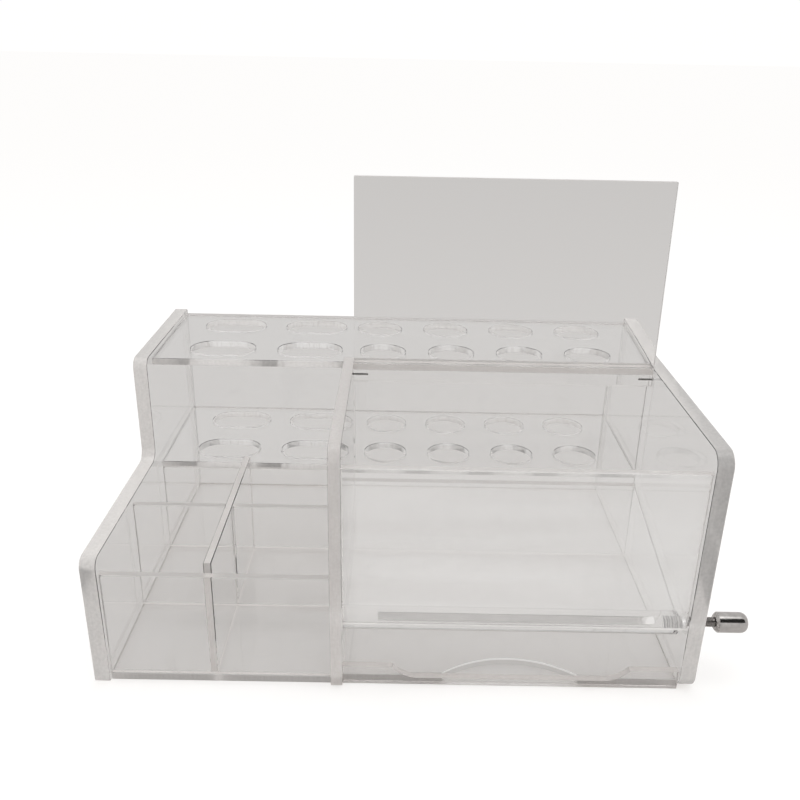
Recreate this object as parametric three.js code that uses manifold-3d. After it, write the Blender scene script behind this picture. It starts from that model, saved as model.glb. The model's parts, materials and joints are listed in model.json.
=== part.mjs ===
// Clear acrylic bench organiser with a hand-turned stick dispenser.
// Millimetres, +X to the right, +Y to the back, +Z up.
// The origin is the middle of the underside, where the base lies on the bench.
import * as THREE from "three";
import { mergeVertices } from "three/addons/utils/BufferGeometryUtils.js";
import Module from "manifold-3d";

// Overall size of the case, over the two side panels
const WIDTH = 305;
const DEPTH = 212;
const HEIGHT = 134;

// Acrylic stock
const SIDE_T = 8; // side panels
const MIDDLE_T = 6; // panel between the trays and the hopper
const SHEET_T = 4; // every other fixed panel
const LID_T = 3;
const EDGE = 0.4; // polished chamfer round each sheet

// Fixed panels
const PROUD = 2; // side panels stand this far in front of the base
const SHELF_DEPTH = 86.5;
const SHELF_Z = 64; // top of the lower shelf
const SHELF_DROP = 3; // top shelf below the side panels' top edge
const STEP_AHEAD = 11; // left panel's tall part in front of the shelves
const STEP_RISE = 8; // left panel's low part above the lower shelf
const TRAY_W = 112; // clear width of the tray bay
const LEFT_TRAY_W = 50.3; // clear width of the left pair of trays
const REAR_TRAY_D = 56.7; // clear depth of the rear pair of trays
const TRAY_FRONT_DROP = 1.5; // tray front panel below the lower shelf
const DIVIDER_RISE = 4; // dividers above the lower shelf
const LAP_CLEAR = 0.1; // each side of a half-lap joint
const BACK_R = 1.2; // corner radii of the side panels: rear,
const FRONT_R = 8; // full-height front,
const LOW_R = 6; // low front,
const FOOT_R = 9; // right panel's front foot,
const STEP_R = 7; // and inside the step

// Holes in both shelves: two columns of slots, then four of round holes, in two rows
const SLOT_COUNT = 2;
const SLOT_LENGTH = 38.5;
const SLOT_WIDTH = 24;
const HOLE_COUNT = 4;
const HOLE_D = 26;
const LEFT_LAND = 18.3; // solid shelf left of the first slot
const RIGHT_LAND = 20; // and right of the last hole
const ROW_LAND = 8; // and in front of and behind the round holes

// Roller and knob
const ROLLER_D = 12.7;
const ROLLER_Y = 12.6;
const ROLLER_Z = 33.8;
const ROLLER_CLEAR = 0.08; // radial, in the middle panel
const ROLLER_GAP = 0.5; // end float
const ROLLER_CHAMFER = 2; // at the right end
const GROOVE_W = 3.8;
const GROOVE_DEPTH = 3;
const GROOVE_LEFT = 17.6; // from the hopper's left wall
const GROOVE_RIGHT = 15; // from the right panel
const GROOVE_RUNOUT = 11; // curved stretch at the right end
const GROOVE_TILT = 49; // degrees above the front horizon at rest
const STUD_D = 5;
const STUD_CLEAR = 0.06; // radial, in the right panel
const STUD_IN = 9;
const THREAD_CLEAR = 0.02; // radial, the stud in its tapped holes
const KNOB_D = 10.4;
const KNOB_L = 16.5;
const KNOB_STANDOFF = 9.5;
const KNOB_BORE_DEPTH = 10;
const KNOB_DOME = 4.2;
const KNOB_CHAMFER = 1.3;

// Hopper
const NIP = 0.6; // gap between the roller and the hopper front's lower edge
const HOPPER_DROP = 11; // hopper front below the side panels' top edge
const FLOOR_DROP = 6; // sloped floor's rear below the lower shelf
const FLOOR_OVER = 0.7; // its front edge above the roller's axis
const FLOOR_GAP = 0.8; // between the sloped floor and the roller
const LIP_Z = 10.5;
const LIP_END = 25; // full-height stretch of the lip at each side
const SCOOP_RUN = 13.5; // length of each curved end of the scoop
const FINGER_CHORD = 70;
const FINGER_DEPTH = 12.4;

// Lid and its pins
const HINGE_AHEAD = 7.3; // hinge line in front of the hopper's rear panel
const HINGE_DROP = 6; // hinge line below the side panels' top edge
const LID_TAIL = 4.2; // lid beyond the hinge line
const LID_CLEAR = 0.35; // each side
const LID_LEAN = 1.5; // degrees past upright, at rest against the top strip
const LID_REST_GAP = 0.3;
const PIN_D = 1.2;
const PIN_CLEAR = 0.04;
const PIN_IN_LID = 8;
const PIN_IN_PANEL = 3.6;
const PIN_END_CLEAR = 0.3;

const wasm = await Module();
wasm.setup();

const rad = (a) => (a * Math.PI) / 180;
const FRONT = -DEPTH / 2;
const LEFT_IN = -WIDTH / 2 + SIDE_T;
const RIGHT_IN = WIDTH / 2 - SIDE_T;
const MIDDLE_L = LEFT_IN + TRAY_W;
const MIDDLE_R = MIDDLE_L + MIDDLE_T;
const HOPPER_W = RIGHT_IN - MIDDLE_R;
const BASE_FRONT = FRONT + PROUD;
const BACK_IN = DEPTH / 2 - SHEET_T;
const SHELF_Y = BACK_IN - SHELF_DEPTH;
const REAR_Y = SHELF_Y - SHEET_T; // front face of the hopper's rear panel
const HINGE = { y: REAR_Y - HINGE_AHEAD, z: HEIGHT - HINGE_DROP };
const ROLLER = { y: FRONT + ROLLER_Y, z: ROLLER_Z };
const DIVIDER_Z = SHELF_Z + DIVIDER_RISE;
const rodR = ROLLER_D / 2;
const tapR = STUD_D / 2;

const group = new THREE.Group();
group.name = "stick_dispenser_organiser";

const clear = () =>
  new THREE.MeshStandardMaterial({ color: 0xdfe1e0, roughness: 0.04, metalness: 0 });
const steel = () =>
  new THREE.MeshStandardMaterial({ color: 0xb9bbbd, roughness: 0.3, metalness: 1 });
const nickel = () =>
  new THREE.MeshStandardMaterial({ color: 0x8c8583, roughness: 0.12, metalness: 1 });

const add = (name, geometry, material) => {
  const mesh = new THREE.Mesh(geometry, material);
  mesh.name = name;
  group.add(mesh);
  return mesh;
};

// three.js geometry to a solid and back
const solid = (geometry) => {
  const bare = geometry.index ? geometry.toNonIndexed() : geometry.clone();
  bare.deleteAttribute("normal");
  bare.deleteAttribute("uv");
  const merged = mergeVertices(bare, 1e-4);
  return new wasm.Manifold(
    new wasm.Mesh({
      numProp: 3,
      vertProperties: merged.attributes.position.array,
      triVerts: new Uint32Array(merged.index.array),
    }),
  );
};
const geometryOf = (body) => {
  const mesh = body.getMesh();
  const indexed = new THREE.BufferGeometry();
  const flat = new Float32Array(mesh.numVert * 3);
  for (let i = 0; i < mesh.numVert; i++)
    for (let k = 0; k < 3; k++) flat[i * 3 + k] = mesh.vertProperties[i * mesh.numProp + k];
  indexed.setAttribute("position", new THREE.BufferAttribute(flat, 3));
  indexed.setIndex(new THREE.BufferAttribute(new Uint32Array(mesh.triVerts), 1));
  const flatShaded = indexed.toNonIndexed();
  flatShaded.computeVertexNormals();
  return flatShaded;
};
const cut = (geometry, ...tools) =>
  geometryOf(tools.reduce((body, tool) => body.subtract(solid(tool)), solid(geometry)));

// A closed outline through corners [x, y, radius]: a radius rounds its corner with one arc
const outline = (corners) => {
  const shape = new THREE.Shape();
  corners.forEach(([x, y, r = 0], i) => {
    const at = new THREE.Vector2(x, y);
    if (!r) {
      i ? shape.lineTo(x, y) : shape.moveTo(x, y);
      return;
    }
    const before = new THREE.Vector2(...corners[(i + corners.length - 1) % corners.length]);
    const after = new THREE.Vector2(...corners[(i + 1) % corners.length]);
    const a = before.sub(at).normalize();
    const b = after.sub(at).normalize();
    const half = Math.acos(a.dot(b)) / 2;
    const start = at.clone().addScaledVector(a, r / Math.tan(half));
    const end = at.clone().addScaledVector(b, r / Math.tan(half));
    const middle = at.clone().addScaledVector(a.add(b).normalize(), r / Math.sin(half));
    i ? shape.lineTo(start.x, start.y) : shape.moveTo(start.x, start.y);
    const from = Math.atan2(start.y - middle.y, start.x - middle.x);
    const to = Math.atan2(end.y - middle.y, end.x - middle.x);
    const turn = Math.sin(to - from) < 0;
    shape.absarc(middle.x, middle.y, r, from, to, turn);
  });
  shape.closePath();
  return shape;
};

// A sheet of a given thickness with its edges chamfered, lying on z = 0
const sheet = (shape, thickness, curveSegments = 8) =>
  new THREE.ExtrudeGeometry(shape, {
    depth: thickness - 2 * EDGE,
    bevelThickness: EDGE,
    bevelSize: EDGE,
    bevelOffset: -EDGE,
    bevelSegments: 1,
    curveSegments,
  }).translate(0, 0, EDGE);
const rect = (x0, y0, x1, y1) => outline([[x0, y0], [x1, y0], [x1, y1], [x0, y1]]);

// Sheets stood on edge: drawn in (y, z) and given an x, or drawn in (x, z) and given a y
const acrossX = (shape, thickness, x) =>
  sheet(shape, thickness)
    .applyMatrix4(new THREE.Matrix4().set(0, 0, 1, x, 1, 0, 0, 0, 0, 1, 0, 0, 0, 0, 0, 1));
const acrossY = (shape, thickness, y) =>
  sheet(shape, thickness)
    .applyMatrix4(new THREE.Matrix4().set(1, 0, 0, 0, 0, 0, -1, y + thickness, 0, 1, 0, 0, 0, 0, 0, 1));
const alongX = (radius, x0, x1, y, z, segments) =>
  new THREE.CylinderGeometry(radius, radius, x1 - x0, segments)
    .rotateZ(Math.PI / 2)
    .translate((x0 + x1) / 2, y, z);

// Base, set back behind the delivery lip and arched there for a finger
const hopperX = (MIDDLE_R + RIGHT_IN) / 2;
const lipBack = BASE_FRONT + SHEET_T;
const arcR = (FINGER_CHORD ** 2 / 4 + FINGER_DEPTH ** 2) / (2 * FINGER_DEPTH);
const arcY = lipBack + FINGER_DEPTH - arcR;
const arcFrom = Math.acos(FINGER_CHORD / 2 / arcR);
const base = new THREE.Shape();
base.moveTo(LEFT_IN, BASE_FRONT);
base.lineTo(MIDDLE_R, BASE_FRONT);
base.lineTo(MIDDLE_R, lipBack);
base.absarc(hopperX, arcY, arcR, Math.PI - arcFrom, arcFrom, true);
base.lineTo(RIGHT_IN, lipBack);
base.lineTo(RIGHT_IN, BACK_IN);
base.lineTo(LEFT_IN, BACK_IN);
base.closePath();
add("base_panel", sheet(base, SHEET_T, 28), clear());

// Side panels: the left one steps down in front of the shelves, the right one is full height
const stepZ = SHELF_Z + STEP_RISE;
const stepY = SHELF_Y - STEP_AHEAD;
add(
  "left_side_panel",
  acrossX(
    outline([
      [FRONT, 0, BACK_R],
      [DEPTH / 2, 0],
      [DEPTH / 2, HEIGHT, BACK_R],
      [stepY, HEIGHT, LOW_R],
      [stepY, stepZ, STEP_R],
      [FRONT, stepZ, LOW_R],
    ]),
    SIDE_T,
    -WIDTH / 2,
  ),
  clear(),
);
const pinHole = (x0, x1) =>
  alongX(PIN_D / 2 + PIN_CLEAR, x0, x1, HINGE.y, HINGE.z, 20);
add(
  "right_side_panel",
  cut(
    acrossX(
      outline([
        [FRONT, 0, FOOT_R],
        [DEPTH / 2, 0],
        [DEPTH / 2, HEIGHT, BACK_R],
        [FRONT, HEIGHT, FRONT_R],
      ]),
      SIDE_T,
      RIGHT_IN,
    ),
    alongX(tapR + STUD_CLEAR, RIGHT_IN - 1, WIDTH / 2 + 1, ROLLER.y, ROLLER.z, 32),
    pinHole(RIGHT_IN - 1, RIGHT_IN + PIN_IN_PANEL + PIN_END_CLEAR),
  ),
  clear(),
);

// Middle panel: a toe at the front reaches down over the base's edge
add(
  "middle_panel",
  cut(
    acrossX(
      outline([
        [FRONT, 0],
        [BASE_FRONT, 0],
        [BASE_FRONT, SHEET_T],
        [SHELF_Y, SHEET_T],
        [SHELF_Y, HEIGHT],
        [FRONT, HEIGHT, FRONT_R],
      ]),
      MIDDLE_T,
      MIDDLE_L,
    ),
    alongX(rodR + ROLLER_CLEAR, MIDDLE_L - 1, MIDDLE_R + 1, ROLLER.y, ROLLER.z, 64),
    pinHole(MIDDLE_R - PIN_IN_PANEL - PIN_END_CLEAR, MIDDLE_R + 1),
  ),
  clear(),
);

// Back panel and the two shelves
add(
  "back_panel",
  acrossY(rect(LEFT_IN, 0, RIGHT_IN, HEIGHT - SHELF_DROP), SHEET_T, BACK_IN),
  clear(),
);
const slotAt = (x, y) => {
  const r = SLOT_WIDTH / 2;
  const run = SLOT_LENGTH / 2 - r;
  const slot = new THREE.Path();
  slot.absarc(x + run, y, r, -Math.PI / 2, Math.PI / 2, false);
  slot.absarc(x - run, y, r, Math.PI / 2, 1.5 * Math.PI, false);
  slot.closePath();
  return slot;
};
const holeAt = (x, y) => {
  const hole = new THREE.Path();
  hole.absarc(x, y, HOLE_D / 2, 0, 2 * Math.PI, false);
  return hole;
};
const shelf = () => {
  const shape = rect(LEFT_IN, SHELF_Y, RIGHT_IN, BACK_IN);
  const lengths = [
    ...Array(SLOT_COUNT).fill(SLOT_LENGTH),
    ...Array(HOLE_COUNT).fill(HOLE_D),
  ];
  const taken = lengths.reduce((sum, length) => sum + length, LEFT_LAND + RIGHT_LAND);
  const land = (RIGHT_IN - LEFT_IN - taken) / (lengths.length - 1);
  const inset = ROW_LAND + HOLE_D / 2;
  let x = LEFT_IN + LEFT_LAND;
  lengths.forEach((length, i) => {
    for (const y of [SHELF_Y + inset, BACK_IN - inset])
      shape.holes.push((i < SLOT_COUNT ? slotAt : holeAt)(x + length / 2, y));
    x += length + land;
  });
  return sheet(shape, SHEET_T, 14);
};
add("top_shelf", shelf().translate(0, 0, HEIGHT - SHELF_DROP - SHEET_T), clear());
add("lower_shelf", shelf().translate(0, 0, SHELF_Z - SHEET_T), clear());

// Tray bay: riser under the lower shelf, front panel and two half-lapped dividers
add(
  "tray_riser_panel",
  acrossY(rect(LEFT_IN, SHEET_T, MIDDLE_L, SHELF_Z - SHEET_T), SHEET_T, SHELF_Y),
  clear(),
);
add(
  "tray_front_panel",
  acrossY(rect(LEFT_IN, SHEET_T, MIDDLE_L, SHELF_Z - TRAY_FRONT_DROP), SHEET_T, BASE_FRONT),
  clear(),
);
const trayFront = BASE_FRONT + SHEET_T;
const crossY = SHELF_Y - REAR_TRAY_D - SHEET_T;
const longX = LEFT_IN + LEFT_TRAY_W;
const lapZ = (DIVIDER_Z + SHEET_T) / 2;
add(
  "tray_cross_divider",
  acrossY(
    outline([
      [LEFT_IN, SHEET_T],
      [MIDDLE_L, SHEET_T],
      [MIDDLE_L, DIVIDER_Z],
      [longX + SHEET_T + LAP_CLEAR, DIVIDER_Z],
      [longX + SHEET_T + LAP_CLEAR, lapZ],
      [longX - LAP_CLEAR, lapZ],
      [longX - LAP_CLEAR, DIVIDER_Z],
      [LEFT_IN, DIVIDER_Z],
    ]),
    SHEET_T,
    crossY,
  ),
  clear(),
);
add(
  "tray_long_divider",
  acrossX(
    outline([
      [trayFront, SHEET_T],
      [crossY - LAP_CLEAR, SHEET_T],
      [crossY - LAP_CLEAR, lapZ],
      [crossY + SHEET_T + LAP_CLEAR, lapZ],
      [crossY + SHEET_T + LAP_CLEAR, SHEET_T],
      [SHELF_Y, SHEET_T],
      [SHELF_Y, DIVIDER_Z],
      [trayFront, DIVIDER_Z],
    ]),
    SHEET_T,
    longX,
  ),
  clear(),
);

// Hopper: rear panel up to a flat strip, sloped floor down to the roller, front panel over it
const stripZ = HEIGHT - SHEET_T;
const stripY =
  HINGE.y + LID_T / 2 / Math.cos(rad(LID_LEAN)) +
  (HEIGHT - EDGE - HINGE.z) * Math.tan(rad(LID_LEAN)) + LID_REST_GAP;
add(
  "hopper_rear_panel",
  acrossY(rect(MIDDLE_R, SHEET_T, RIGHT_IN, stripZ), SHEET_T, REAR_Y),
  clear(),
);
add(
  "hopper_top_strip",
  sheet(rect(MIDDLE_R, stripY, RIGHT_IN, SHELF_Y), SHEET_T).translate(0, 0, stripZ),
  clear(),
);
const floorRearZ = SHELF_Z - FLOOR_DROP;
const floorFront = ROLLER.y + rodR + FLOOR_GAP;
const floorFrontZ = ROLLER.z + FLOOR_OVER;
const slope = Math.atan2(floorRearZ - floorFrontZ, REAR_Y - floorFront);
const down = SHEET_T / Math.cos(slope);
add(
  "hopper_sloped_floor",
  acrossX(
    outline([
      [floorFront, floorFrontZ],
      [floorFront + SHEET_T * Math.sin(slope), floorFrontZ - SHEET_T * Math.cos(slope)],
      [REAR_Y, floorRearZ - down],
      [REAR_Y, floorRearZ],
    ]),
    HOPPER_W,
    MIDDLE_R,
  ),
  clear(),
);
const nipY = BASE_FRONT + SHEET_T - ROLLER.y;
const nipZ = ROLLER.z + Math.sqrt(Math.max((rodR + NIP) ** 2 - nipY ** 2, 1));
add(
  "hopper_front_panel",
  acrossY(rect(MIDDLE_R, nipZ, RIGHT_IN, HEIGHT - HOPPER_DROP), SHEET_T, BASE_FRONT),
  clear(),
);

// Delivery lip: a strip in front of the base, scooped down to the floor of the tray
const brimX = HOPPER_W / 2 - LIP_END;
const footX = brimX - SCOOP_RUN;
const bendX = (brimX + footX) / 2;
const lip = new THREE.Shape();
lip.moveTo(MIDDLE_R, 0);
lip.lineTo(RIGHT_IN, 0);
lip.lineTo(RIGHT_IN, LIP_Z);
lip.lineTo(hopperX + brimX, LIP_Z);
lip.quadraticCurveTo(hopperX + bendX, SHEET_T, hopperX + footX, SHEET_T);
lip.lineTo(hopperX - footX, SHEET_T);
lip.quadraticCurveTo(hopperX - bendX, SHEET_T, hopperX - brimX, LIP_Z);
lip.lineTo(MIDDLE_R, LIP_Z);
lip.closePath();
add("delivery_lip", acrossY(lip, SHEET_T, BASE_FRONT), clear());

// Roller rod: runs through the middle panel, grooved along its length, tapped at the right end
const rodLeft = MIDDLE_L + ROLLER_GAP;
const rodRight = RIGHT_IN - ROLLER_GAP;
const rodProfile = [
  [0, rodLeft],
  [rodR - EDGE, rodLeft],
  [rodR, rodLeft + EDGE],
  [rodR, rodRight - ROLLER_CHAMFER],
  [rodR - ROLLER_CHAMFER, rodRight],
  [tapR, rodRight],
  [tapR, rodRight - STUD_IN],
  [0, rodRight - STUD_IN],
].map(([r, x]) => new THREE.Vector2(r, x));
const onAxis = (geometry) => geometry.rotateZ(-Math.PI / 2);
const rod = onAxis(new THREE.LatheGeometry(rodProfile, 64));
const grooveFloor = rodR - GROOVE_DEPTH;
const grooveL = MIDDLE_R + GROOVE_LEFT;
const grooveR = RIGHT_IN - GROOVE_RIGHT;
const cutterR = (GROOVE_RUNOUT ** 2 + GROOVE_DEPTH ** 2) / (2 * GROOVE_DEPTH);
const runoutAngle = Math.asin(GROOVE_RUNOUT / cutterR);
const grooveShape = new THREE.Shape();
grooveShape.moveTo(grooveL, grooveFloor);
grooveShape.absarc(
  grooveR - GROOVE_RUNOUT, grooveFloor + cutterR, cutterR,
  -Math.PI / 2, -Math.PI / 2 + runoutAngle, false,
);
grooveShape.lineTo(grooveR + 1, rodR + 1);
grooveShape.lineTo(grooveL, rodR + 1);
grooveShape.closePath();
const groove = new THREE.ExtrudeGeometry(grooveShape, {
  depth: GROOVE_W,
  bevelEnabled: false,
  curveSegments: 10,
})
  .translate(0, 0, -GROOVE_W / 2)
  .rotateX(rad(180 - GROOVE_TILT));
add("roller_rod", cut(rod, groove).translate(0, ROLLER.y, ROLLER.z), clear());

// Stud screwed into the rod, and the knob screwed on its end
const knobIn = WIDTH / 2 + KNOB_STANDOFF;
const studEnd = knobIn + KNOB_BORE_DEPTH;
add(
  "roller_stud",
  alongX(tapR - THREAD_CLEAR, rodRight - STUD_IN, studEnd, ROLLER.y, ROLLER.z, 32),
  steel(),
);
const knobR = KNOB_D / 2;
const knobProfile = [
  [0, studEnd],
  [tapR, studEnd],
  [tapR, knobIn],
  [knobR - KNOB_CHAMFER, knobIn],
  [knobR, knobIn + KNOB_CHAMFER],
];
// A dome a little squarer than an ellipse, from the barrel to the axis
const DOME_STEPS = 10;
for (let i = 0; i < DOME_STEPS; i++) {
  const a = ((Math.PI / 2) * i) / DOME_STEPS;
  knobProfile.push([
    knobR * Math.cos(a) ** 0.72,
    knobIn + KNOB_L - KNOB_DOME * (1 - Math.sin(a)),
  ]);
}
knobProfile.push([0, knobIn + KNOB_L]);
add(
  "knob",
  onAxis(
    new THREE.LatheGeometry(knobProfile.map(([r, x]) => new THREE.Vector2(r, x)), 40),
  ).translate(0, ROLLER.y, ROLLER.z),
  nickel(),
);

// Lid, drawn upright round its hinge line and leant back on the top strip, and its two pins
const lidL = MIDDLE_R + LID_CLEAR;
const lidR = RIGHT_IN - LID_CLEAR;
const lidReach = HINGE.y - FRONT;
const pinX = [
  [MIDDLE_R - PIN_IN_PANEL, lidL + PIN_IN_LID],
  [lidR - PIN_IN_LID, RIGHT_IN + PIN_IN_PANEL],
];
const lidBody = cut(
  acrossY(rect(lidL, -LID_TAIL, lidR, lidReach), LID_T, -LID_T / 2),
  alongX(PIN_D / 2, lidL - 1, lidL + PIN_IN_LID, 0, 0, 20),
  alongX(PIN_D / 2, lidR - PIN_IN_LID, lidR + 1, 0, 0, 20),
);
const lidGroup = new THREE.Group();
lidGroup.position.set(0, HINGE.y, HINGE.z);
lidGroup.rotation.x = -rad(LID_LEAN);
group.add(lidGroup);
const lid = new THREE.Mesh(lidBody, clear());
lid.name = "lid_panel";
lidGroup.add(lid);
["hinge_pin_left", "hinge_pin_right"].forEach((name, i) => {
  const pin = new THREE.Mesh(alongX(PIN_D / 2 - 0.01, ...pinX[i], 0, 0, 20), steel());
  pin.name = name;
  lidGroup.add(pin);
});

export default group;
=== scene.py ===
import json
from math import cos, pi, radians, sin

import bpy
from bpy.props import FloatProperty, FloatVectorProperty, PointerProperty
from bpy.types import Operator, Panel, PropertyGroup
from mathutils import Matrix, Vector


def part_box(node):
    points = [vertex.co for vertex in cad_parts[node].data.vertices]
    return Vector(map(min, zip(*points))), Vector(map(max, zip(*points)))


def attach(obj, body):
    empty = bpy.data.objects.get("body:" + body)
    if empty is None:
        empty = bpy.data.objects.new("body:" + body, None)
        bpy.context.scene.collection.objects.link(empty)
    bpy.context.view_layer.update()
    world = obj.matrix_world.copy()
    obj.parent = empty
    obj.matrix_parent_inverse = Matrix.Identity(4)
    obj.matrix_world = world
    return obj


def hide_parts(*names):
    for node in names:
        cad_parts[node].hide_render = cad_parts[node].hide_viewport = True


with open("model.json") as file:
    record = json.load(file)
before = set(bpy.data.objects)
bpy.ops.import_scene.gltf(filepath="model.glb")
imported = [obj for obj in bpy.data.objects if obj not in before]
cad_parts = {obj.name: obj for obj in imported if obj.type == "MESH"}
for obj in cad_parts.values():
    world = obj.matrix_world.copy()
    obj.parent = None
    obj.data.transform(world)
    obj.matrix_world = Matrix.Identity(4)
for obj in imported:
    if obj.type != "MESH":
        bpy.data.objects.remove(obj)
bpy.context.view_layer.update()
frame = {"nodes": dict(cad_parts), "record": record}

bl_info = {
    "name": "Stick Dispenser Organiser",
    "version": (1, 0, 0),
    "blender": (4, 5, 0),
    "location": "View3D > Sidebar > Organiser",
    "description": "Finishes a clear acrylic organiser with a hand-turned stick dispenser",
    "category": "Object",
}

MM = 0.001
OVER = 2 * MM  # how far a cutter reaches past what it cuts
NEAR = 1e-6  # how closely an edge has to lie where it is looked for, in metres

# Sides of round tools and pieces, and steps of rounded corners
NOTCH_SIDES = 256
ROD_SIDES = 128
HOLE_SIDES = 96
KNOB_SIDES = 96
STUD_HOLE_SIDES = 64
THREAD_SIDES = 48
WIRE_SIDES = 32
CORNER_STEPS = 20
SCOOP_STEPS = 40
GROOVE_STEPS = 24
DOME_STEPS = 16

OPENINGS = {
    opening["name"]: [Vector(point) for point in opening["box_m"]]
    for opening in frame["record"]["physics"]["openings"]
}

# The way through each carried-over sheet, from face to face
SHEET_NORMALS = {
    "tray_long_divider": (1, 0, 0),
    "back_panel": (0, 1, 0),
    "tray_riser_panel": (0, 1, 0),
    "tray_front_panel": (0, 1, 0),
    "tray_cross_divider": (0, 1, 0),
    "hopper_rear_panel": (0, 1, 0),
    "hopper_front_panel": (0, 1, 0),
    "hopper_top_strip": (0, 0, 1),
}


# Settings


def colour(name, default, description):
    return FloatVectorProperty(
        name=name, description=description, default=default, size=3, min=0, max=1, subtype="COLOR"
    )


def length(name, default, description):
    return FloatProperty(name=name, description=description, default=default, min=0, unit="LENGTH")


def share(name, default, description):
    return FloatProperty(
        name=name, description=description, default=default, min=0, max=1, subtype="FACTOR"
    )


def angle(name, default, description):
    return FloatProperty(
        name=name, description=description, default=radians(default), subtype="ANGLE"
    )


def place(name, default, description):
    return FloatVectorProperty(
        name=name, description=description, default=default, size=3, subtype="TRANSLATION"
    )


class AcrylicSettings(PropertyGroup):
    """How the clear sheet and rod look."""

    sheet_tint: colour("Sheet tint", (0.993, 0.9915, 0.99), "What one surface of a sheet lets through")
    rod_tint: colour("Rod tint", (0.975, 0.972, 0.968), "What one surface of the rod lets through")
    edge_colour: colour("Edge colour", (0.68, 0.656, 0.642), "Sawn edges of the sheets")
    polished_colour: colour("Polished edge", (0.78, 0.762, 0.75), "Polished edges of the side panels")
    sawn_clear: share("Sawn clearness", 0.36, "How much a sawn edge still lets through")
    polished_clear: share("Polished clearness", 0.46, "How much a polished edge lets through")
    sawn_roughness: share("Sawn roughness", 0.4, "Roughness of the sawn edges")
    polished_roughness: share("Polished roughness", 0.22, "Roughness of the polished edges")
    lip_clear: share("Lip clearness", 0.55, "How much the lip's flamed edge lets through")
    veil: share("Veil", 0.2, "How milky the hopper's front sheet is with wiping marks")
    # Painted highlight: white for the notch's top rim and for the groove's run-out, where light
    # catches them
    painted_highlight_white: colour("Rim", (0.97, 0.965, 0.96), "Bright rim round the finger notch")
    rim_wall: colour("Rim wall", (0.74, 0.73, 0.72), "Wall of the finger notch under its rim")
    rim_clear: share("Rim clearness", 0.12, "How much the wall of the notch lets through")
    drilled_clear: share("Drilled clearness", 0.5, "How much the wall of a hole lets through")
    line_spacing: length("Line spacing", 1.3 * MM, "Between the dark lines of the tapped hole")
    # Painted shade: near-black lines standing in for the shade in the tapped hole's thread grooves
    painted_thread_shade: colour("Thread lines", (0.05, 0.045, 0.043), "Dark lines of the tapped hole")
    groove_colour: colour("Groove colour", (0.3, 0.285, 0.277), "Milled walls of the rod's groove")
    refraction: FloatProperty(
        name="Refraction", description="Index of refraction of acrylic", default=1.49, min=1, max=2
    )
    smear_size: length("Smear size", 60 * MM, "Width of the polishing smears on the faces")
    mottle_size: length("Mottle size", 1.6 * MM, "Width of the bubbles and chips along the edges")
    wipe_size: length("Wipe size", 25 * MM, "Width of the wiping marks on the hopper's front sheet")
    # Painted highlight: how far down from the notch's top the white reaches
    highlight_height: length("Rim height", 1.3 * MM, "Bright rim down from the top of the finger notch")


class MetalSettings(PropertyGroup):
    """How the knob, stud and pins look."""

    nickel: colour("Nickel", (0.64, 0.617, 0.603), "Dark polished plating of the knob")
    nickel_roughness: share("Nickel roughness", 0.1, "Roughness of the knob")
    nickel_rings: length("Nickel rings", 0.3 * MM, "Width of the knob's lathe marks")
    steel: colour("Steel", (0.46, 0.44, 0.43), "Threaded stud")
    steel_roughness: share("Steel roughness", 0.22, "Roughness of the stud")
    steel_rings: length("Steel rings", 0.4 * MM, "Width of the stud's lathe marks")
    wire: colour("Wire", (0.1, 0.095, 0.09), "Hinge pins")
    wire_roughness: share("Wire roughness", 0.18, "Roughness of the pins")
    wire_rings: length("Wire rings", 0.5 * MM, "Width of the pins' drawing marks")


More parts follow.
